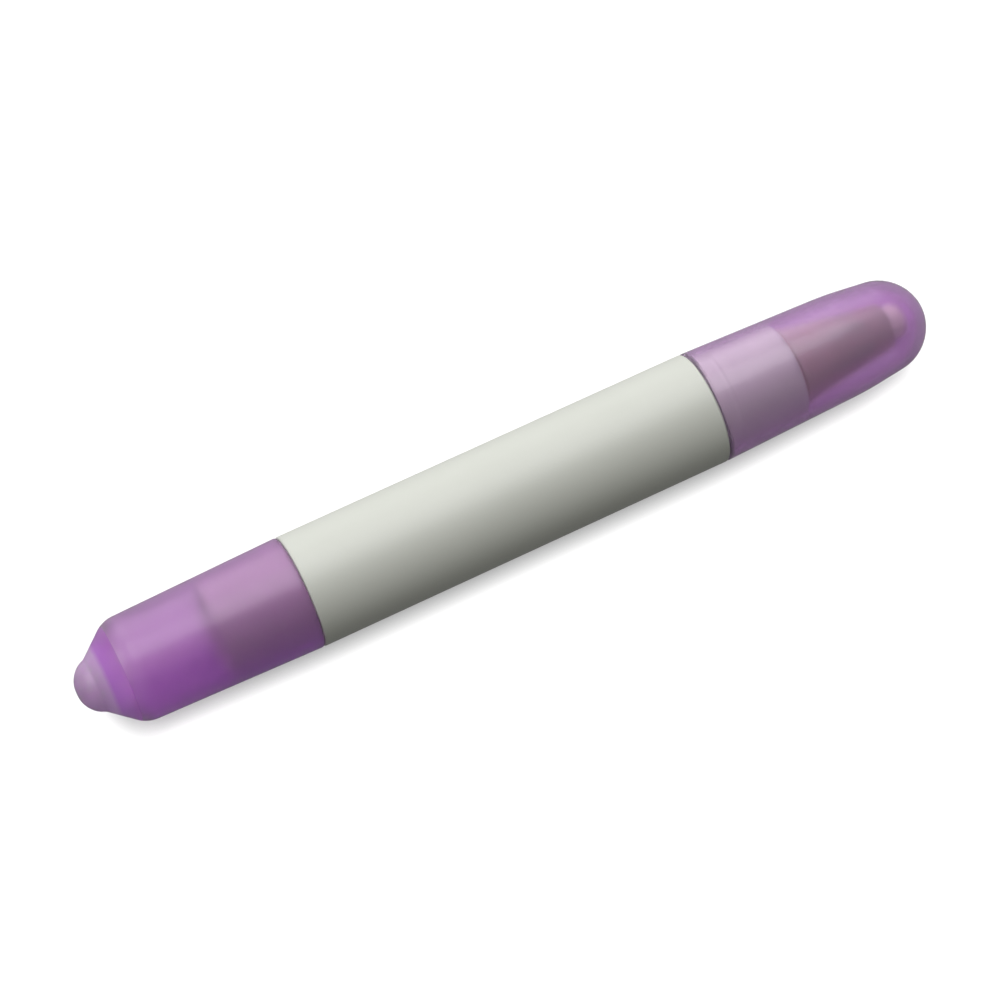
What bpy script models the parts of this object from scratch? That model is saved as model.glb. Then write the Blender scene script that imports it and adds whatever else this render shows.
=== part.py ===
"""Nail polish corrector pen, lying on its side along +X with the nib end in front.

A white barrel holds remover in a fibre core. A cone in its front neck carries the felt nib.
A translucent cap pushes onto the neck at each end, and the rear neck stores three spare nibs.
Every length is in metres. All pieces are turned about one axis, the pen axis.
"""

import math

import bmesh
import bpy
from mathutils import Matrix, Vector

mm = 0.001

# Whole pen
pen_radius = 7.75 * mm
seat_gap = 0.3 * mm
facets = 32
arc_step = math.radians(14.0)
small_arc_radius = 1.0 * mm
small_arc_steps = 2
merge_distance = 0.001 * mm
smooth_below = math.radians(35.0)

# Both caps
cap_wall = 0.7 * mm
cap_rim_rounding = 0.25 * mm
lead_in_length = 0.65 * mm
lead_in_depth = 0.2 * mm
front_cap_draft = math.radians(1.85)
rear_cap_draft = math.radians(1.33)

# Barrel: a grip between two necks that fit the caps
grip_length = 59.0 * mm
grip_edge_rounding = 0.25 * mm
front_neck_length = 13.0 * mm
rear_neck_length = 12.7 * mm
seal_land_length = 4.5 * mm
seal_land_step = 0.3 * mm
seal_clearance = 0.1 * mm
neck_clearance = 0.28 * mm
front_neck_end_rounding = 1.0 * mm
rear_neck_end_rounding = 0.6 * mm
snap_bead_station = 2.6 * mm
snap_bead_width = 0.9 * mm
snap_bead_height = 0.07 * mm

# Bore of the barrel: the spare nib store, then a ledge, the chamber, another ledge, the spigot bore
rear_neck_wall = 0.88 * mm
plug_ledge = 0.3 * mm
core_ledge = 0.4 * mm
bore_chamfer = 0.15 * mm
rear_neck_inset = (rear_neck_length - seat_gap) * math.tan(rear_cap_draft) + neck_clearance
store_radius = pen_radius - cap_wall - rear_neck_inset - rear_neck_wall
chamber_radius = store_radius - plug_ledge
front_bore_radius = chamber_radius - core_ledge

# Spare nibs: as thick as stand side by side in the store
spare_nib_count = 3
spare_nib_recess = 0.6 * mm
spare_nib_spacing = 0.3 * mm
store_clearance = 0.21 * mm
nib_facets = 24
nib_corner = 1 / math.cos(math.pi / nib_facets)
ring_spread = 1 / math.sin(math.pi / spare_nib_count)
nib_room = store_radius - store_clearance - ring_spread * spare_nib_spacing / 2
nib_radius = nib_room / (nib_corner * (1 + ring_spread))

# Nib holder
nib_clearance = 0.1 * mm
cone_length = 14.6 * mm
cone_tip_wall = 0.6 * mm
cone_tip_rounding = 0.35 * mm
holder_flange_seat = 0.45 * mm
holder_flange_thickness = 0.7 * mm
holder_flange_rounding = 0.2 * mm
holder_flange_step = 0.25 * mm
spigot_length = 5.0 * mm
spigot_clearance = 0.1 * mm
spigot_lead_in = 0.4 * mm
holder_wall = 0.9 * mm
collar_length = 4.0 * mm
rib_count = 6
rib_thickness = 0.8 * mm
rib_clearance = 0.15 * mm
rib_setback = 0.8 * mm
rib_bite_share = 0.45

# Nib: from the core, through the holder, out to its tip
nib_reach = 3.0 * mm
nib_core_depth = 1.6 * mm
nib_tip_rounding = 1.3 * mm
nib_back_chamfer = 0.4 * mm
nib_length = nib_reach + cone_length + spigot_length + 2 * seat_gap + nib_core_depth

# Reservoir
film_clearance = 0.25 * mm
film_thickness = 0.25 * mm
core_clearance = 0.25 * mm
core_edge = 0.4 * mm
core_pocket_clearance = 0.3 * mm

# Rear plug
plug_flange_thickness = 1.6 * mm
plug_flange_edge = 0.3 * mm
plug_stem_length = 2.5 * mm
plug_clearance = 0.1 * mm
plug_pull_radius = 1.6 * mm
plug_pull_depth = 0.8 * mm

# Front cap: a drafted tube that turns in towards a full round dome, clear of the nib
nib_dome_gap = 1.5 * mm
front_dome_wall = 1.1 * mm
front_nose_length = 11.6 * mm
front_turn_in_angle = math.radians(6.7)
front_turn_in_rounding = 40.0 * mm
front_cap_length = front_neck_length + cone_length + nib_reach + nib_dome_gap + front_dome_wall

# Rear cap: a drafted tube with a rounded shoulder, a hollow-flanked cone and a round button
rear_skirt_length = 24.75 * mm
rear_shoulder_rounding = 3.6 * mm
rear_cone_length = 4.25 * mm
button_length = 2.5 * mm
button_foot_radius = 3.65 * mm
button_foot_rounding = 1.4 * mm
button_end_radius = 2.7 * mm
button_rounding = 3.3 * mm
rear_hollow_overrun = 0.85 * mm
rear_hollow_rounding = 2.6 * mm
rear_hollow_rise = 0.6 * mm
rear_cap_length = rear_skirt_length + rear_cone_length + button_length

# Places along the pen, measured from the middle of its whole length
pen_length = rear_cap_length + seat_gap + grip_length + seat_gap + front_cap_length
rear_rim = rear_cap_length - pen_length / 2
rear_shoulder = rear_rim + seat_gap
front_shoulder = rear_shoulder + grip_length
front_rim = front_shoulder + seat_gap
front_neck_end = front_shoulder + front_neck_length
rear_neck_end = rear_shoulder - rear_neck_length
holder_seat = front_neck_end + seat_gap
cone_tip = holder_seat + cone_length
nib_tip = cone_tip + nib_reach
spigot_back = holder_seat - spigot_length
plug_face = rear_neck_end + spare_nib_recess + nib_length + seat_gap
plug_seat = plug_face + plug_flange_thickness + seat_gap
core_back = plug_seat + plug_stem_length
core_front = spigot_back - seat_gap


def clear_scene():
    """Remove what the scene starts with."""
    for thing in list(bpy.data.objects):
        bpy.data.objects.remove(thing, do_unlink=True)


def plastic(name, colour, roughness, transmission=0.0):
    """A moulded or fibrous finish."""
    material = bpy.data.materials.new(name)
    material.use_nodes = True
    shader = material.node_tree.nodes["Principled BSDF"]
    shader.inputs["Base Color"].default_value = (*colour, 1.0)
    shader.inputs["Roughness"].default_value = roughness
    shader.inputs["Metallic"].default_value = 0.0
    shader.inputs["Transmission Weight"].default_value = transmission
    material.diffuse_color = (*colour, 1.0)
    return material


def arc(before, corner, after, radius):
    """Points of the arc of this radius that rounds one corner between two straight runs."""
    back = (before - corner).normalized()
    ahead = (after - corner).normalized()
    half_angle = back.angle(ahead) / 2
    centre = corner + (back + ahead).normalized() * radius / math.sin(half_angle)
    first = corner + back * radius / math.tan(half_angle) - centre
    turn = math.pi - 2 * half_angle
    side = 1 if back.cross(ahead) < 0 else -1
    steps = small_arc_steps if radius < small_arc_radius else math.ceil(turn / arc_step)
    spokes = [Matrix.Rotation(side * turn * i / steps, 2) for i in range(steps + 1)]
    return [tuple(centre + spoke @ first) for spoke in spokes]


def rounded(corners):
    """An outline of (station, radius) points from corners (station, radius, rounding).

    Each rounding is a radius. Two that would meet on one run shrink to share it.
    """
    points = [Vector((station, radius)) for station, radius, _ in corners]
    neighbours = [(i - 1, (i + 1) % len(points)) for i in range(len(points))]
    reaches = []
    for point, (last, following), (_, _, rounding) in zip(points, neighbours, corners):
        opening = (points[last] - point).angle(points[following] - point)
        reaches.append(rounding / math.tan(opening / 2))
    outline = []
    for i, (station, radius, rounding) in enumerate(corners):
        if rounding == 0:
            outline.append((station, radius))
            continue
        for j in neighbours[i]:
            run = (points[j] - points[i]).length
            rounding *= min(1, run / (reaches[i] + reaches[j]))
        outline += arc(points[i - 1], points[i], points[neighbours[i][1]], rounding)
    return outline


def full_round(end_radius, angle):
    """Radius of the arc that rounds a drafted end all the way to the axis."""
    return end_radius / math.tan((math.pi / 2 - angle) / 2)


def face_outwards(form):
    """Turn the faces of a closed form outwards."""
    bmesh.ops.recalc_face_normals(form, faces=form.faces)
    if form.calc_volume(signed=True) < 0:
        bmesh.ops.reverse_faces(form, faces=form.faces)


def turned(outline, sides, closed=False):
    """Spin an outline of (station, radius) points about the X axis.

    The flats of the facets touch the true circle, and one flat faces straight down.
    """
    form = bmesh.new()
    to_corner = Matrix.Rotation(math.pi / sides, 3, 'X')
    stretch = 1 / math.cos(math.pi / sides)
    points = [form.verts.new(to_corner @ Vector((x, 0, r * stretch))) for x, r in outline]
    lines = [form.edges.new(pair) for pair in zip(points, points[1:])]
    if closed:
        lines.append(form.edges.new((points[-1], points[0])))
    bmesh.ops.spin(form, geom=points + lines, cent=(0, 0, 0), axis=(1, 0, 0),
                   angle=2 * math.pi, steps=sides, use_merge=True)
    bmesh.ops.remove_doubles(form, verts=form.verts, dist=merge_distance)
    face_outwards(form)
    return form


def add_piece(name, form, material, place, pen_axis):
    """Make an object of a form, with its origin at a place measured from the pen axis."""
    mesh = bpy.data.meshes.new(name)
    form.to_mesh(mesh)
    form.free()
    mesh.materials.append(material)
    mesh.shade_smooth()
    mesh.set_sharp_from_angle(angle=smooth_below)
    piece = bpy.data.objects.new(name, mesh)
    bpy.context.collection.objects.link(piece)
    piece.location = place
    piece.parent = pen_axis
    return piece


def cap_bore(distance, draft):
    """Inside radius of a cap at a distance from its rim."""
    return pen_radius - cap_wall - distance * math.tan(draft)


def neck(length, draft, end_rounding):
    """Corners of a neck from the shoulder out: seal land, snap bead, slim part, round end.

    Distances run from the shoulder. The flanks follow the bore of the cap that sits on them.
    """
    def land(distance):
        return cap_bore(distance - seat_gap, draft) - seal_clearance

    def slim(distance):
        return cap_bore(distance - seat_gap, draft) - neck_clearance

    bead_start = snap_bead_station - snap_bead_width / 2
    bead_end = snap_bead_station + snap_bead_width / 2
    slim_start = seal_land_length + seal_land_step
    return [
        (0, land(0), 0),
        (bead_start, land(bead_start), 0),
        (snap_bead_station, land(snap_bead_station) + snap_bead_height, 0),
        (bead_end, land(bead_end), 0),
        (seal_land_length, land(seal_land_length), 0),
        (slim_start, slim(slim_start), 0),
        (length, slim(length), end_rounding),
    ]


def make_barrel(material, pen_axis):
    """The white tube: two necks, the grip between them, and a bore stepped from the rear."""
    rear_neck = neck(rear_neck_length, rear_cap_draft, rear_neck_end_rounding)
    front_neck = neck(front_neck_length, front_cap_draft, front_neck_end_rounding)
    corners = [(rear_shoulder - along, r, rounding) for along, r, rounding in rear_neck[::-1]]
    corners += [
        (rear_shoulder, pen_radius, grip_edge_rounding),
        (front_shoulder, pen_radius, grip_edge_rounding),
    ]
    corners += [(front_shoulder + along, r, rounding) for along, r, rounding in front_neck]
    corners += [
        (front_neck_end, front_bore_radius + bore_chamfer, 0),
        (front_neck_end - bore_chamfer, front_bore_radius, 0),
        (core_front, front_bore_radius, 0),
        (core_front, chamber_radius, 0),
        (plug_seat, chamber_radius, 0),
        (plug_seat, store_radius, 0),
        (rear_neck_end + bore_chamfer, store_radius, 0),
        (rear_neck_end, store_radius + bore_chamfer, 0),
    ]
    form = turned(rounded(corners), facets, closed=True)
    return add_piece("barrel", form, material, (0, 0, 0), pen_axis)


def cap_outline(outside, inside, draft):
    """Outline of a cap from its outer tip over the rim to its inner tip.

    Distances run from the rim. The mouth widens by a lead-in that finds the snap bead.
    """
    corners = outside[::-1]
    corners += [
        (0, pen_radius, cap_rim_rounding),
        (0, cap_bore(0, draft) + lead_in_depth, 0),
        (lead_in_length, cap_bore(lead_in_length, draft), 0),
    ]
    corners += inside
    return rounded(corners)


def make_front_cap(material, pen_axis):
    """The domed cap over the nib. It pulls off along +X."""
    def side(distance):
        return pen_radius - distance * math.tan(front_cap_draft)

    station = front_cap_length - front_nose_length
    turn_in = side(station)
    nose_end = turn_in - front_nose_length * math.tan(front_turn_in_angle)
    hollow_length = front_cap_length - front_dome_wall
    hollow_turn_in = turn_in - cap_wall
    hollow_nose_length = front_nose_length - front_dome_wall
    hollow_nose_end = hollow_turn_in - hollow_nose_length * math.tan(front_turn_in_angle)
    outside = [
        (station, turn_in, front_turn_in_rounding),
        (front_cap_length, nose_end, full_round(nose_end, front_turn_in_angle)),
        (front_cap_length, 0, 0),
    ]
    inside = [
        (station, hollow_turn_in, front_turn_in_rounding - cap_wall),
        (hollow_length, hollow_nose_end, full_round(hollow_nose_end, front_turn_in_angle)),
        (hollow_length, 0, 0),
    ]
    form = turned(cap_outline(outside, inside, front_cap_draft), facets)
    return add_piece("front_cap", form, material, (front_rim, 0, 0), pen_axis)


def make_rear_cap(material, pen_axis):
    """The cap over the spare nibs, with its cone and button end. It pulls off along -X."""
    shoulder = pen_radius - rear_skirt_length * math.tan(rear_cap_draft)
    outside = [
        (rear_skirt_length, shoulder, rear_shoulder_rounding),
        (rear_skirt_length + rear_cone_length, button_foot_radius, button_foot_rounding),
        (rear_cap_length, button_end_radius, button_rounding),
        (rear_cap_length, 0, 0),
    ]
    hollow_length = rear_skirt_length + rear_hollow_overrun
    hollow_corner = hollow_length - rear_hollow_rise
    inside = [
        (hollow_corner, cap_bore(hollow_corner, rear_cap_draft), rear_hollow_rounding),
        (hollow_length, 0, 0),
    ]
    outline = cap_outline(outside, inside, rear_cap_draft)
    form = turned([(-distance, radius) for distance, radius in outline], facets)
    return add_piece("rear_cap", form, material, (rear_rim, 0, 0), pen_axis)


def nib_form():
    """A felt nib, round at its tip and chamfered at its back, with its tip at the origin."""
    outline = rounded([
        (0, 0, 0),
        (0, nib_radius, nib_tip_rounding),
        (nib_back_chamfer - nib_length, nib_radius, 0),
        (-nib_length, nib_radius - nib_back_chamfer, 0),
        (-nib_length, 0, 0),
    ])
    return turned(outline, nib_facets)


def rib_form():
    """The ribs that grip the nib inside the holder: thin plates set radially round the axis."""
    inner = nib_radius + rib_clearance
    bite = holder_wall * rib_bite_share
    outer = front_bore_radius - spigot_clearance - holder_wall + bite
    back = rib_setback - spigot_length
    front = cone_length - collar_length + bite
    profile = [
        (back, inner),
        (front, inner),
        (front, holder_cavity_end() + bite),
        (0, outer),
        (back, outer),
    ]
    form = bmesh.new()
    for i in range(rib_count):
        points = [form.verts.new((x, -rib_thickness / 2, r)) for x, r in profile]
        plate = form.faces.new(points)
        grown = bmesh.ops.extrude_face_region(form, geom=[plate])["geom"]
        moved = [part for part in grown if isinstance(part, bmesh.types.BMVert)]
        bmesh.ops.translate(form, verts=moved, vec=(0, rib_thickness, 0))
        turn = Matrix.Rotation(2 * math.pi * i / rib_count, 3, 'X')
        bmesh.ops.rotate(form, verts=points + moved, cent=(0, 0, 0), matrix=turn)
    face_outwards(form)
    return form


def cone_flank():
    """Radius of the holder's cone at its base and at its tip."""
    base = front_bore_radius + holder_flange_seat - holder_flange_step
    return base, nib_radius + nib_clearance + cone_tip_wall


def holder_cavity_end():
    """Radius of the holder's tapered cavity where it meets the collar round the nib."""
    base, tip = cone_flank()
    run = cone_length - holder_flange_thickness
    outside = tip + (base - tip) * collar_length / run
    return outside - holder_wall


def make_nib_holder(material, pen_axis):
    """The cone that carries the nib: spigot, flange, cone, and ribs in the hollow behind."""
    spigot_radius = front_bore_radius - spigot_clearance
    spigot_bore = spigot_radius - holder_wall
    nib_bore = nib_radius + nib_clearance
    flange_radius = front_bore_radius + holder_flange_seat
    cone_base, cone_end = cone_flank()
    collar_start = cone_length - collar_length
    corners = [
        (-spigot_length, spigot_bore, 0),
        (-spigot_length, spigot_radius - spigot_lead_in, 0),
        (spigot_lead_in - spigot_length, spigot_radius, 0),
        (0, spigot_radius, 0),
        (0, flange_radius, holder_flange_rounding),
        (holder_flange_thickness, flange_radius, holder_flange_rounding),
        (holder_flange_thickness, cone_base, 0),
        (cone_length, cone_end, cone_tip_rounding),
        (cone_length, nib_bore, 0),
        (collar_start, nib_bore, 0),
        (collar_start, holder_cavity_end(), 0),
        (0, spigot_bore, 0),
    ]
    form = turned(rounded(corners), facets, closed=True)
    holder = add_piece("nib_holder", form, material, (holder_seat, 0, 0), pen_axis)
    ribs = add_piece("nib_holder_ribs", rib_form(), material, (holder_seat, 0, 0), pen_axis)
    ribs.hide_render = True
    ribs.display_type = 'WIRE'
    union = holder.modifiers.new("ribs", 'BOOLEAN')
    union.operation = 'UNION'
    union.object = ribs
    return holder


def make_reservoir(core_material, film_material, pen_axis):
    """The fibre core with a pocket for the nib's back end, and the film sleeve round it."""
    film_radius = chamber_radius - film_clearance
    core_radius = film_radius - film_thickness - core_clearance
    nib_back = nib_tip - nib_length
    pocket_radius = nib_radius + core_pocket_clearance
    pocket_floor = nib_back - core_pocket_clearance
    core = [
        (core_back + seat_gap, 0),
        (core_back + seat_gap, core_radius - core_edge),
        (core_back + seat_gap + core_edge, core_radius),
        (core_front - seat_gap - core_edge, core_radius),
        (core_front - seat_gap, core_radius - core_edge),
        (core_front - seat_gap, pocket_radius),
        (pocket_floor, pocket_radius),
        (pocket_floor, 0),
    ]
    film = [
        (core_back + seat_gap, film_radius),
        (core_front - seat_gap, film_radius),
        (core_front - seat_gap, film_radius - film_thickness),
        (core_back + seat_gap, film_radius - film_thickness),
    ]
    add_piece("reservoir_core", turned(core, facets), core_material, (0, 0, 0), pen_axis)
    film_form = turned(film, facets, closed=True)
    add_piece("reservoir_film", film_form, film_material, (0, 0, 0), pen_axis)


def make_rear_plug(material, pen_axis):
    """The plug that closes the remover chamber and is the floor of the spare nib store."""
    flange_radius = store_radius - plug_clearance
    stem_radius = chamber_radius - plug_clearance
    flange_front = plug_flange_thickness
    stem_front = flange_front + seat_gap + plug_stem_length
    outline = [
        (plug_pull_depth, 0),
        (plug_pull_depth, plug_pull_radius),
        (0, plug_pull_radius),
        (0, flange_radius - plug_flange_edge),
        (plug_flange_edge, flange_radius),
        (flange_front, flange_radius),
        (flange_front, stem_radius),
        (stem_front - plug_flange_edge, stem_radius),
        (stem_front, stem_radius - plug_flange_edge),
        (stem_front, 0),
    ]
    return add_piece("rear_plug", turned(outline, facets), material, (plug_face, 0, 0), pen_axis)


def make_spare_nibs(material, pen_axis):
    """Spare nibs standing side by side in the rear neck, tips towards the rear."""
    pitch = 2 * nib_radius * nib_corner + spare_nib_spacing
    ring_radius = ring_spread * pitch / 2
    for i in range(spare_nib_count):
        turn = math.pi / 2 + 2 * math.pi * i / spare_nib_count
        place = (rear_neck_end + spare_nib_recess,
                 ring_radius * math.cos(turn), ring_radius * math.sin(turn))
        nib = add_piece(f"spare_nib_{i + 1}", nib_form(), material, place, pen_axis)
        nib.rotation_euler = (0, 0, math.pi)


def make_pen():
    """Lay the pen's axis one pen radius above the ground and put every piece on it."""
    white = plastic("white_plastic", (0.72, 0.73, 0.68), 0.4)
    violet = plastic("violet_plastic", (0.52, 0.27, 0.62), 0.25, transmission=0.7)
    pink = plastic("pink_plastic", (0.62, 0.40, 0.47), 0.4)
    felt = plastic("nib_felt", (0.78, 0.58, 0.60), 0.9)
    fibre = plastic("reservoir_fibre", (0.78, 0.78, 0.74), 0.95)
    film = plastic("reservoir_film", (0.85, 0.87, 0.88), 0.15, transmission=0.8)

    pen_axis = bpy.data.objects.new("pen_axis", None)
    pen_axis.location = (0, 0, pen_radius)
    bpy.context.collection.objects.link(pen_axis)

    make_barrel(white, pen_axis)
    make_nib_holder(pink, pen_axis)
    add_piece("nib", nib_form(), felt, (nib_tip, 0, 0), pen_axis)
    make_reservoir(fibre, film, pen_axis)
    make_rear_plug(white, pen_axis)
    make_spare_nibs(felt, pen_axis)
    make_front_cap(violet, pen_axis)
    make_rear_cap(violet, pen_axis)


clear_scene()
make_pen()
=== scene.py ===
"""A nail polish corrector pen lying on a white surface.

A white barrel holds the remover and carries a felt nib on a cone under a domed translucent cap.
Three spare nibs stand in its rear neck under a second cap with a cone and a round button.
"""

import math

import bmesh
import bpy
from mathutils import Matrix, Vector


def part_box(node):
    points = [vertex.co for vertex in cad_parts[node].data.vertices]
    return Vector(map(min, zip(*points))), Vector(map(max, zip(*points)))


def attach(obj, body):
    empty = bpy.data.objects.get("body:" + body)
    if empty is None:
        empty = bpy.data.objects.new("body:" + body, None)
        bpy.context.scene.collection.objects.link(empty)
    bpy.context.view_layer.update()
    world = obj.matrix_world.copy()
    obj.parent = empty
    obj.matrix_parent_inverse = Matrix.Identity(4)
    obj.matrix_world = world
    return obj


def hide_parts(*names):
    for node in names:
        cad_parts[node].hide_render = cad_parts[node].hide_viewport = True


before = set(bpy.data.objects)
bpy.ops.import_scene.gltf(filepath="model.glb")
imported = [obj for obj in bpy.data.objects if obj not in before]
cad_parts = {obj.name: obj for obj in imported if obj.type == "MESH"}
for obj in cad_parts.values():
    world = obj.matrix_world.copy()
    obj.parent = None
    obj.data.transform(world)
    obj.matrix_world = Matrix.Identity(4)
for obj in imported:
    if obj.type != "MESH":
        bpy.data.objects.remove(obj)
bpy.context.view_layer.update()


# The barrel is one opaque white moulded tube, with a grip that the fingers hold. Both its ends are
# reduced to necks that the caps push onto, each with a seal land and a low snap bead. The bore
# narrows from the rear, in steps that stop the rear plug and the fibre core.
mm = 0.001
pen_radius = 7.75 * mm
grip_rounding = 0.25 * mm
cap_wall = 0.7 * mm
seat_gap = 0.3 * mm
rim_gap = 0.1 * mm
front_cap_draft = math.radians(1.85)
rear_cap_draft = math.radians(1.33)
land_gap = 0.1 * mm
land_foot_rounding = 0.06 * mm
bead_start = 2.15 * mm
bead_top = 2.6 * mm
bead_end = 3.05 * mm
bead_gap = 0.03 * mm
bead_rounding = 0.5 * mm
land_end = 4.3 * mm
slim_start = 5.3 * mm
slim_gap = 0.16 * mm
slim_rounding = 0.3 * mm
rear_neck_rounding = 0.8 * mm
front_neck_rounding = 1.0 * mm
store_wall = 0.88 * mm
plug_ledge_depth = 0.3 * mm
core_ledge_depth = 0.4 * mm
plug_flange_thickness = 1.6 * mm
bore_chamfer = 0.15 * mm
around = 160
run_step = 2 * mm
curve_step = math.radians(7)
weld_distance = 0.002 * mm
smooth_below = math.radians(32)


def turned(corners, closed=False, hub=Vector((0, 0, pen_radius))):
    """A form spun about the pen's axis, or a line beside it, from (station, radius, rounding)."""
    form = bmesh.new()
    points = [form.verts.new((station, 0, radius)) for station, radius, _ in corners]
    for pair in zip(points, points[1:] + points[:1] * closed):
        form.edges.new(pair)
    for point, (_, _, rounding) in zip(points, corners):
        if rounding:
            ways = [edge.other_vert(point).co - point.co for edge in point.link_edges]
            opening = ways[0].angle(ways[1])
            bmesh.ops.bevel(form, geom=[point], offset=rounding / math.tan(opening / 2),
                            segments=max(3, round((math.pi - opening) / curve_step)),
                            profile=0.5, affect='VERTICES', material=-1)
    for edge in form.edges[:]:
        cuts = int(edge.calc_length() / run_step)
        if cuts:
            bmesh.ops.subdivide_edges(form, edges=[edge], cuts=cuts)
    bmesh.ops.spin(form, geom=form.verts[:] + form.edges[:], cent=(0, 0, 0), axis=(1, 0, 0),
                   angle=math.tau, steps=around, use_merge=True)
    bmesh.ops.remove_doubles(form, verts=form.verts, dist=weld_distance)
    bmesh.ops.recalc_face_normals(form, faces=form.faces)
    if form.calc_volume(signed=True) < 0:
        bmesh.ops.reverse_faces(form, faces=form.faces)
    bmesh.ops.translate(form, verts=form.verts, vec=hub)
    return form


def finished(name, form):
    """The object of a form whose vertices are already in place, shaded smooth between its edges."""
    mesh = bpy.data.meshes.new(name)
    form.to_mesh(mesh)
    form.free()
    mesh.shade_smooth()
    mesh.set_sharp_from_angle(angle=smooth_below)
    piece = bpy.data.objects.new(name, mesh)
    bpy.context.collection.objects.link(piece)
    weighted = piece.modifiers.new("even_shading", 'WEIGHTED_NORMAL')
    weighted.keep_sharp = True
    return piece


def surface(name, colour, roughness, **sockets):
    """A Principled material and its shader, with further sockets set by their names."""
    material = bpy.data.materials.new(name)
    material.use_nodes = True
    shader = material.node_tree.nodes["Principled BSDF"]
    shader.inputs["Base Color"].default_value = (*colour, 1)
    shader.inputs["Roughness"].default_value = roughness
    for socket, value in sockets.items():
        shader.inputs[socket.replace("_", " ")].default_value = value
    return material, shader


def noise(material, scale, detail=2.0, stretch=(1, 1, 1)):
    """A noise texture on the object's own coordinates, with its grain stretched along an axis."""
    nodes, links = material.node_tree.nodes, material.node_tree.links
    place = nodes.new("ShaderNodeTexCoord")
    mapping = nodes.new("ShaderNodeMapping")
    mapping.inputs["Scale"].default_value = stretch
    texture = nodes.new("ShaderNodeTexNoise")
    texture.inputs["Scale"].default_value = scale
    texture.inputs["Detail"].default_value = detail
    links.new(place.outputs["Object"], mapping.inputs["Vector"])
    links.new(mapping.outputs["Vector"], texture.inputs["Vector"])
    return texture.outputs["Fac"]


def blend(material, source, low, high):
    """A value or a colour that goes from low to high as a source goes from 0 to 1."""
    nodes, links = material.node_tree.nodes, material.node_tree.links
    mix = nodes.new("ShaderNodeMix")
    mix.data_type = 'RGBA' if isinstance(low, tuple) else 'FLOAT'
    for end, socket in [(low, mix.inputs["A"]), (high, mix.inputs["B"])]:
        if isinstance(end, bpy.types.NodeSocket):
            links.new(end, socket)
        else:
            socket.default_value = (*end, 1) if isinstance(end, tuple) else end
    links.new(source, mix.inputs["Factor"])
    return mix.outputs["Result"]


def spread(material, source, low, high, target):
    """Drive a socket between two ends with a source from 0 to 1."""
    material.node_tree.links.new(blend(material, source, low, high), target)


def relief(material, shader, source, depth):
    """Bump the surface by a source, to a depth in metres."""
    bump = material.node_tree.nodes.new("ShaderNodeBump")
    bump.inputs["Distance"].default_value = depth
    bump.inputs["Strength"].default_value = 1.0
    material.node_tree.links.new(source, bump.inputs["Height"])
    material.node_tree.links.new(bump.outputs["Normal"], shader.inputs["Normal"])


def neck(shoulder, length, draft, end_rounding, side):
    """Corners of a neck from its shoulder out. Its flanks follow the bore of the cap on it."""
    def bore(reach):
        return pen_radius - cap_wall - (reach - rim_gap) * math.tan(draft)

    return [(shoulder + side * reach, bore(reach) - gap, rounding) for reach, gap, rounding in [
        (0, land_gap, land_foot_rounding),
        (bead_start, land_gap, bead_rounding),
        (bead_top, bead_gap, bead_rounding),
        (bead_end, land_gap, bead_rounding),
        (land_end, land_gap, slim_rounding),
        (slim_start, slim_gap, slim_rounding),
        (length, slim_gap, end_rounding),
    ]]


rear_neck_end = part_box("barrel")[0].x
front_neck_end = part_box("barrel")[1].x
rear_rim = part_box("rear_cap")[1].x
front_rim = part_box("front_cap")[0].x
rear_shoulder = rear_rim + rim_gap
front_shoulder = front_rim - rim_gap
rear_neck = neck(rear_shoulder, rear_shoulder - rear_neck_end, rear_cap_draft,
                 rear_neck_rounding, -1)
front_neck = neck(front_shoulder, front_neck_end - front_shoulder, front_cap_draft,
                  front_neck_rounding, 1)
store_radius = rear_neck[-1][1] - store_wall
chamber_radius = store_radius - plug_ledge_depth
front_bore_radius = chamber_radius - core_ledge_depth
plug_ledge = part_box("rear_plug")[0].x + plug_flange_thickness + seat_gap
core_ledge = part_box("nib_holder")[0].x - seat_gap
barrel = finished("white_barrel", turned(rear_neck[::-1] + [
    (rear_shoulder, pen_radius, grip_rounding),
    (front_shoulder, pen_radius, grip_rounding),
] + front_neck + [
    (front_neck_end, front_bore_radius + bore_chamfer, 0),
    (front_neck_end - bore_chamfer, front_bore_radius, 0),
    (core_ledge, front_bore_radius, 0),
    (core_ledge, chamber_radius, 0),
    (plug_ledge, chamber_radius, 0),
    (plug_ledge, store_radius, 0),
    (rear_neck_end + bore_chamfer, store_radius, 0),
    (rear_neck_end, store_radius + bore_chamfer, 0),
], closed=True))

white_plastic, shader = surface("white_plastic", (0.71, 0.725, 0.675), 0.42)
spread(white_plastic, noise(white_plastic, 90, detail=3), (0.695, 0.712, 0.66), (0.725, 0.74, 0.69),
       shader.inputs["Base Color"])
spread(white_plastic, noise(white_plastic, 700), 0.36, 0.5, shader.inputs["Roughness"])
relief(white_plastic, shader, noise(white_plastic, 2600, detail=4), 0.01 * mm)
barrel.data.materials.append(white_plastic)
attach(barrel, "pen_body")
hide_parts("barrel")


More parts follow.
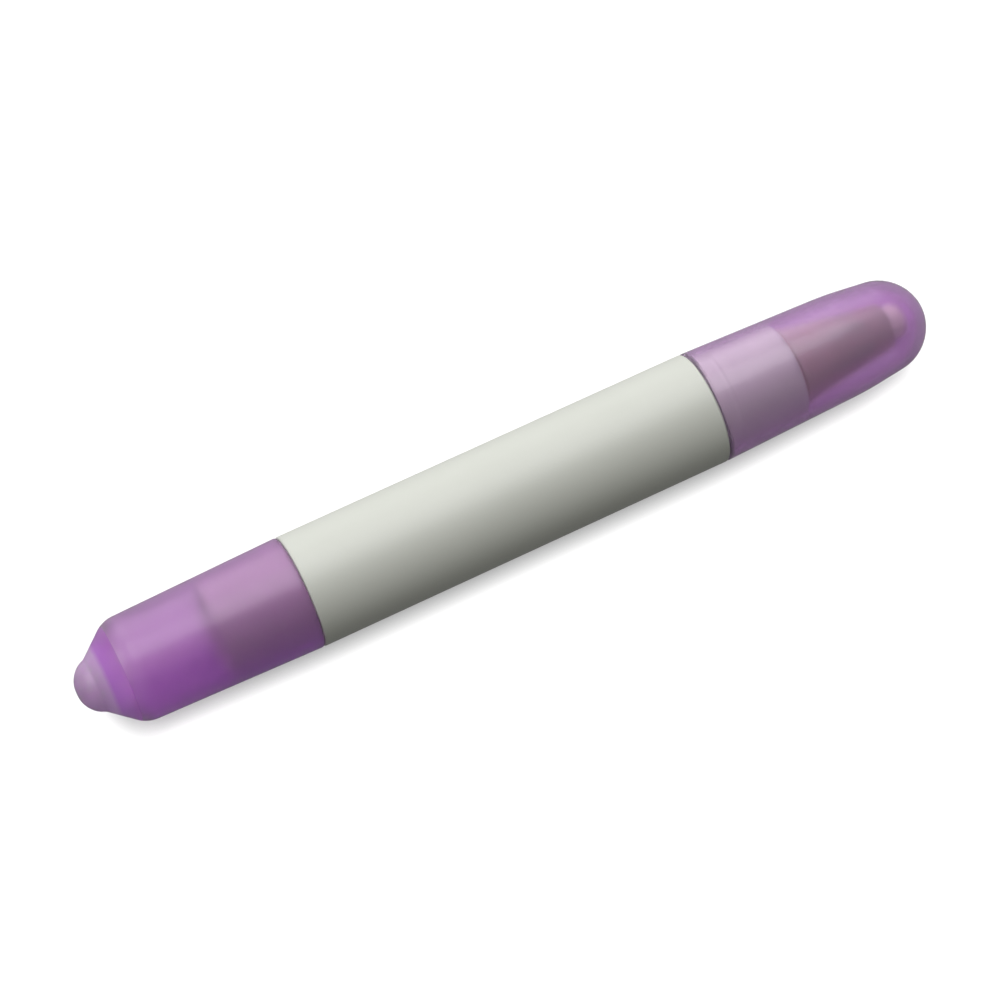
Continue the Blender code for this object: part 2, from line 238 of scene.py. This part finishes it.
# The nib holder is a pink moulded cone. Its spigot is pressed into the front neck down to a flange,
# a collar round its tip holds the nib, and six ribs in the hollow behind it grip the nib's shaft.
spigot_clearance = 0.1 * mm
spigot_wall = 0.9 * mm
spigot_chamfer = 0.4 * mm
flange_overhang = 0.45 * mm
flange_thickness = 0.7 * mm
flange_rounding = 0.2 * mm
cone_setback = 0.25 * mm
edge_rounding = 0.1 * mm
tip_rounding = 0.35 * mm
collar_length = 4 * mm
collar_wall = 0.7 * mm
cavity_step = 0.2 * mm
nib_clearance = 0.1 * mm
rib_count = 6
rib_thickness = 0.8 * mm
rib_clearance = 0.15 * mm
rib_setback = 0.8 * mm
rib_bite = 0.4 * mm
nib_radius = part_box("nib")[1].y
spigot_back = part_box("nib_holder")[0].x
holder_seat = front_neck_end + seat_gap
cone_base = holder_seat + flange_thickness
cone_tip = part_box("nib_holder")[1].x
collar_back = cone_tip - collar_length
spigot_radius = front_bore_radius - spigot_clearance
spigot_bore = spigot_radius - spigot_wall
flange_radius = front_bore_radius + flange_overhang
tip_radius = nib_radius + collar_wall
cavity_radius = tip_radius - cavity_step
holder_form = turned([
    (spigot_back, spigot_bore, 0),
    (spigot_back, spigot_radius - spigot_chamfer, edge_rounding),
    (spigot_back + spigot_chamfer, spigot_radius, edge_rounding),
    (holder_seat, spigot_radius, 0),
    (holder_seat, flange_radius, flange_rounding),
    (cone_base, flange_radius, flange_rounding),
    (cone_base, flange_radius - cone_setback, edge_rounding),
    (cone_tip, tip_radius, tip_rounding),
    (cone_tip, nib_radius + nib_clearance, edge_rounding),
    (collar_back, nib_radius + nib_clearance, 0),
    (collar_back, cavity_radius, 0),
    (holder_seat, spigot_bore, 0),
], closed=True)
rib_outline = [
    (spigot_back + rib_setback, nib_radius + rib_clearance),
    (collar_back + rib_bite, nib_radius + rib_clearance),
    (collar_back + rib_bite, cavity_radius + rib_bite),
    (holder_seat, spigot_bore + rib_bite),
    (spigot_back + rib_setback, spigot_bore + rib_bite),
]
for i in range(rib_count):
    plate = bmesh.new()
    rib = plate.faces.new([plate.verts.new((station, -rib_thickness / 2, radius))
                           for station, radius in rib_outline])
    grown = bmesh.ops.extrude_face_region(plate, geom=[rib])["geom"]
    far_corners = [part for part in grown if isinstance(part, bmesh.types.BMVert)]
    bmesh.ops.translate(plate, verts=far_corners, vec=(0, rib_thickness, 0))
    bmesh.ops.recalc_face_normals(plate, faces=plate.faces)
    bmesh.ops.rotate(plate, verts=plate.verts, cent=(0, 0, 0),
                     matrix=Matrix.Rotation(i * math.tau / rib_count, 3, 'X'))
    bmesh.ops.translate(plate, verts=plate.verts, vec=(0, 0, pen_radius))
    rib_mesh = bpy.data.meshes.new("rib")
    plate.to_mesh(rib_mesh)
    plate.free()
    holder_form.from_mesh(rib_mesh)
    bpy.data.meshes.remove(rib_mesh)
holder = finished("pink_nib_holder", holder_form)

pink_plastic, shader = surface("pink_plastic", (0.6, 0.4, 0.41), 0.4, Specular_IOR_Level=0.25,
                               Subsurface_Weight=1.0, Subsurface_Scale=7 * mm,
                               Subsurface_Radius=(1.0, 0.85, 0.85))
spread(pink_plastic, noise(pink_plastic, 120), (0.58, 0.38, 0.39), (0.62, 0.42, 0.43),
       shader.inputs["Base Color"])
spread(pink_plastic, noise(pink_plastic, 900), 0.34, 0.46, shader.inputs["Roughness"])
relief(pink_plastic, shader, noise(pink_plastic, 2600, detail=4), 0.008 * mm)
holder.data.materials.append(pink_plastic)
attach(holder, "pen_body")
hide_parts("nib_holder")


# The nib is a rod of bonded felt fibres with a domed tip. It stands in the holder and its back end
# draws remover from the core. Three spare nibs stand side by side in the rear neck.
nib_dome_rounding = 1.3 * mm
nib_back_chamfer = 0.4 * mm
nib_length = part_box("nib")[1].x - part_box("nib")[0].x


def nib_corners(tip, side):
    """Corners of a nib from its tip back, where side is the way from the back to the tip."""
    back = tip - side * nib_length
    return [
        (tip, 0, 0),
        (tip, nib_radius, nib_dome_rounding),
        (back + side * nib_back_chamfer, nib_radius, edge_rounding),
        (back, nib_radius - nib_back_chamfer, edge_rounding),
        (back, 0, 0),
    ]


nib = finished("felt_nib", turned(nib_corners(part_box("nib")[1].x, 1)))
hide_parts("nib")
spares = []
for i in range(1, 4):
    low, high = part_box(f"spare_nib_{i}")
    middle = (low + high) / 2
    spares.append(finished(f"felt_spare_nib_{i}",
                           turned(nib_corners(low.x, -1), hub=Vector((0, middle.y, middle.z)))))
    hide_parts(f"spare_nib_{i}")

felt, shader = surface("felt", (0.84, 0.71, 0.72), 0.92, Sheen_Weight=0.25)
strands = noise(felt, 1500, detail=5, stretch=(0.12, 1, 1))
spread(felt, strands, (0.77, 0.64, 0.65), (0.91, 0.78, 0.79), shader.inputs["Base Color"])
relief(felt, shader, strands, 0.08 * mm)
for piece in [nib] + spares:
    piece.data.materials.append(felt)
    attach(piece, "pen_body")


# The front cap is moulded in translucent lavender plastic. Its drafted tube turns in towards a full
# round dome over the nib, and its mouth widens by a lead-in that finds the snap bead.
rim_rounding = 0.25 * mm
mouth_rounding = 0.05 * mm
lead_in_length = 0.65 * mm
lead_in_depth = 0.2 * mm
lead_in_rounding = 0.2 * mm
dome_wall = 1.1 * mm
dome_share = 0.999
turn_in_length = 11.6 * mm
turn_in_angle = math.radians(6.7)
turn_in_rounding = 40 * mm
cap_bore = pen_radius - cap_wall
front_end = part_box("front_cap")[1].x
turn_in = front_end - turn_in_length
turn_in_radius = pen_radius - (turn_in - front_rim) * math.tan(front_cap_draft)
nose_radius = turn_in_radius - (front_end - turn_in) * math.tan(turn_in_angle)
hollow_end = front_end - dome_wall
hollow_nose_radius = turn_in_radius - cap_wall - (hollow_end - turn_in) * math.tan(turn_in_angle)
half_turn = (math.pi / 2 - turn_in_angle) / 2
front_cap = finished("domed_front_cap", turned([
    (front_end, 0, 0),
    (front_end, nose_radius, nose_radius / math.tan(half_turn) * dome_share),
    (turn_in, turn_in_radius, turn_in_rounding),
    (front_rim, pen_radius, rim_rounding),
    (front_rim, cap_bore + lead_in_depth, mouth_rounding),
    (front_rim + lead_in_length, cap_bore - lead_in_length * math.tan(front_cap_draft),
     lead_in_rounding),
    (turn_in, turn_in_radius - cap_wall, turn_in_rounding - cap_wall),
    (hollow_end, hollow_nose_radius, hollow_nose_radius / math.tan(half_turn) * dome_share),
    (hollow_end, 0, 0),
]))

lavender, shader = surface("lavender_plastic", (0.87, 0.73, 0.9), 0.24, IOR=1.49,
                           Transmission_Weight=0.92, Specular_IOR_Level=0.9, Sheen_Weight=0.15)
spread(lavender, noise(lavender, 500), 0.22, 0.26, shader.inputs["Roughness"])
relief(lavender, shader, noise(lavender, 1000, detail=1), 0.002 * mm)
front_cap.data.materials.append(lavender)
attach(front_cap, "front_cap")
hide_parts("front_cap")


# The rear cap is moulded in a deeper violet. Behind its rounded shoulder it narrows in a cone with a
# slightly hollow foot to a round button. Its hollow ends at the shoulder, so cone and button are
# solid, and the plastic looks cloudy there, paler at the button than at the cone.
skirt_length = 24.75 * mm
shoulder_rounding = 3.6 * mm
button_length = 2.5 * mm
button_foot_radius = 3.65 * mm
button_foot_rounding = 1.4 * mm
button_end_radius = 2.7 * mm
button_rounding = 3.3 * mm
hollow_overrun = 0.85 * mm
hollow_end_rise = 0.3 * mm
hollow_corner_rounding = 0.04 * mm
painted_glow_length = 3 * mm
rear_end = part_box("rear_cap")[0].x
shoulder_station = rear_rim - skirt_length
button_station = rear_end + button_length
rear_hollow_end = shoulder_station - hollow_overrun
hollow_corner = rear_hollow_end + hollow_end_rise
lead_in_station = rear_rim - lead_in_length
cloudy_beyond_radius = cap_bore - 1 * mm


def rear_side(station):
    """Outer radius of the rear cap's drafted tube."""
    return pen_radius - (rear_rim - station) * math.tan(rear_cap_draft)


def along(material, axis, start, end):
    """A ramp from 0 to 1 between two places on an axis of the object."""
    nodes, links = material.node_tree.nodes, material.node_tree.links
    place = nodes.new("ShaderNodeTexCoord")
    split = nodes.new("ShaderNodeSeparateXYZ")
    ramp = nodes.new("ShaderNodeMapRange")
    ramp.inputs["From Min"].default_value = start
    ramp.inputs["From Max"].default_value = end
    links.new(place.outputs["Object"], split.inputs["Vector"])
    links.new(split.outputs[axis], ramp.inputs["Value"])
    return ramp.outputs["Result"]


rear_cap_form = turned([
    (rear_end, 0, 0),
    (rear_end, button_end_radius, button_rounding),
    (button_station, button_foot_radius, button_foot_rounding),
    (shoulder_station, rear_side(shoulder_station), shoulder_rounding),
    (rear_rim, pen_radius, rim_rounding),
    (rear_rim, cap_bore + lead_in_depth, mouth_rounding),
    (lead_in_station, rear_side(lead_in_station) - cap_wall, lead_in_rounding),
    (hollow_corner, rear_side(hollow_corner) - cap_wall, hollow_corner_rounding),
    (rear_hollow_end, 0, 0),
])
# An edge round the outside at the hollow's corner, for the cloudy plastic to end on.
bmesh.ops.bisect_plane(rear_cap_form, geom=rear_cap_form.faces[:] + rear_cap_form.edges[:],
                       dist=0.001 * mm, plane_co=(hollow_corner, 0, 0), plane_no=(1, 0, 0))
rear_cap = finished("button_rear_cap", rear_cap_form)

violet, shader = surface("violet_plastic", (0.75, 0.51, 0.78), 0.3, IOR=1.49,
                         Transmission_Weight=0.88, Specular_IOR_Level=0.8, Sheen_Weight=0.15)
# Painted light: the tube is paler for a few millimetres past the hollow's end, standing in for light
# that the hollow's rounded end refracts.
spread(violet, along(violet, "X", rear_hollow_end, rear_hollow_end + painted_glow_length),
       (0.82, 0.64, 0.84), (0.75, 0.51, 0.78), shader.inputs["Base Color"])
spread(violet, noise(violet, 500), 0.28, 0.32, shader.inputs["Roughness"])
relief(violet, shader, noise(violet, 1000, detail=1), 0.002 * mm)
rear_cap.data.materials.append(violet)

cloudy, shader = surface("cloudy_violet_plastic", (0.82, 0.56, 0.93), 0.33, IOR=1.49,
                         Transmission_Weight=0.45, Specular_IOR_Level=1.0,
                         Subsurface_Weight=1.0, Subsurface_Scale=2 * mm,
                         Subsurface_Radius=(1.0, 0.6, 1.0))
spread(cloudy, along(cloudy, "X", button_station + 1.1 * mm, button_station + 1.7 * mm),
       (0.87, 0.65, 0.96), (0.7, 0.3, 0.86), shader.inputs["Base Color"])
spread(cloudy, noise(cloudy, 500), 0.3, 0.36, shader.inputs["Roughness"])
relief(cloudy, shader, noise(cloudy, 1200, detail=3), 0.006 * mm)
rear_cap.data.materials.append(cloudy)
for face in rear_cap.data.polygons:
    outer = (face.center - Vector((0, 0, pen_radius))).yz.length > cloudy_beyond_radius
    face.material_index = (face.center.x < rear_hollow_end
                           or face.center.x < hollow_corner and outer)
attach(rear_cap, "rear_cap")
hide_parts("rear_cap")


# The fibre core soaks up the remover and stands in a clear film sleeve inside the barrel. Behind it
# a white plug closes the chamber and is the floor of the store. All three keep their CAD shapes.
fibre, shader = surface("core_fibre", (0.78, 0.78, 0.74), 0.95)
bundle = noise(fibre, 1800, detail=4, stretch=(0.05, 1, 1))
spread(fibre, bundle, (0.7, 0.7, 0.66), (0.84, 0.84, 0.8), shader.inputs["Base Color"])
relief(fibre, shader, bundle, 0.05 * mm)
film, shader = surface("core_film", (0.85, 0.87, 0.88), 0.15, Transmission_Weight=0.8)
spread(film, noise(film, 400), 0.12, 0.2, shader.inputs["Roughness"])
for node, material in [("reservoir_core", fibre), ("reservoir_film", film),
                       ("rear_plug", white_plastic)]:
    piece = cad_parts[node]
    piece.data.materials.clear()
    piece.data.materials.append(material)


# The pen lies on a plain white surface that runs on out of view. To the camera it glows white, with
# a painted contact shadow where the pen shades it. Seen through a cap, it glows with a painted pool
# of the violet light that the plastic tints, brighter on its far side and, under the rear cap, paler
# there.
floor_half_size = 1.5
painted_shadow_reach = 3.3 * mm
painted_pool_edge = 3 * mm
painted_rear_pool_start = 10 * mm
painted_rear_pool_end = -10 * mm
floor_form = bmesh.new()
bmesh.ops.create_grid(floor_form, x_segments=8, y_segments=8, size=floor_half_size)
floor = finished("floor", floor_form)
floor.modifiers.clear()
white_floor, shader = surface("white_floor", (0.12, 0.12, 0.12), 0.9)
spread(white_floor, noise(white_floor, 60), (0.115, 0.115, 0.115), (0.125, 0.125, 0.125),
       shader.inputs["Base Color"])
paths = white_floor.node_tree.nodes.new("ShaderNodeLightPath")
# Painted contact shadow: to the camera the floor's glow is dimmed by ambient occlusion within this
# reach of the pen.
painted_contact_shadow = white_floor.node_tree.nodes.new("ShaderNodeAmbientOcclusion")
painted_contact_shadow.samples = 16
painted_contact_shadow.inputs["Distance"].default_value = painted_shadow_reach
mirrored = blend(white_floor, paths.outputs["Is Glossy Ray"], 0.0, 0.2)
# Painted light pool: to transmission rays the floor glows violet, brighter on the pen's lit far side
# than in its painted shade, and paler there under the rear cap.
painted_lit_far_side = along(white_floor, "Y", 0, painted_pool_edge)
painted_pool_strength = blend(white_floor, painted_lit_far_side, 0.4, 0.76)
unseen = blend(white_floor, paths.outputs["Is Transmission Ray"], mirrored, painted_pool_strength)
spread(white_floor, paths.outputs["Is Camera Ray"], unseen, painted_contact_shadow.outputs["AO"],
       shader.inputs["Emission Strength"])
painted_pool_rearward = along(white_floor, "X", painted_rear_pool_start, painted_rear_pool_end)
painted_rear_light_pool = blend(white_floor, painted_lit_far_side, (0.62, 0.03, 1.0), (0.9, 0.68, 1.0))
painted_light_pool = blend(white_floor, painted_pool_rearward, (0.62, 0.25, 0.74), painted_rear_light_pool)
spread(white_floor, paths.outputs["Is Transmission Ray"], (1.0, 1.0, 1.0), painted_light_pool,
       shader.inputs["Emission Color"])
floor.data.materials.append(white_floor)


# Three round softboxes light the pen: a wide one behind it, one above it and a small one at its rear
# end. The room around it is dim, and plain white where the camera looks past the floor.
def softbox(name, place, size, power):
    """A round soft light that faces the middle of the pen."""
    light = bpy.data.lights.new(name, 'AREA')
    light.shape = 'DISK'
    light.size = size
    light.energy = power
    lamp = bpy.data.objects.new(name, light)
    lamp.location = place
    lamp.rotation_euler = (-Vector(place)).to_track_quat('-Z', 'Y').to_euler()
    bpy.context.collection.objects.link(lamp)
    return lamp


back_light = softbox("back_light", (0.12, 0.78, 0.43), 0.88, 4.8)
back_light.visible_glossy = False
softbox("top_light", (0.08, 0.16, 0.77), 0.68, 2.9)
softbox("end_light", (-0.5, 0.15, 0.5), 0.4, 0.8)

world = bpy.data.worlds.new("studio")
world.use_nodes = True
background = world.node_tree.nodes["Background"]
seen = world.node_tree.nodes.new("ShaderNodeLightPath").outputs["Is Camera Ray"]
spread(world, seen, (1.0, 1.0, 0.92), (1.0, 1.0, 1.0), background.inputs["Color"])
spread(world, seen, 0.18, 1.0, background.inputs["Strength"])
bpy.context.scene.world = world
bpy.context.scene.view_settings.view_transform = 'Standard'
bpy.context.scene.cycles.blur_glossy = 0


# The camera looks steeply down on the pen from its side, a little from its rear end, through a long
# lens that keeps its sides nearly parallel.
elevation = math.radians(64.5)
azimuth = math.radians(-26.83)
distance = 447.2 * mm
aim = Vector((-1.39 * mm, 0.09 * mm, pen_radius))
camera_data = bpy.data.cameras.new("camera")
camera_data.sensor_width = 36
camera_data.lens = 122.4
camera = bpy.data.objects.new("camera", camera_data)
camera.rotation_euler = (math.pi / 2 - elevation, 0, azimuth)
back = camera.rotation_euler.to_matrix() @ Vector((0, 0, 1))
camera.location = aim + back * distance
bpy.context.collection.objects.link(camera)
bpy.context.scene.camera = camera
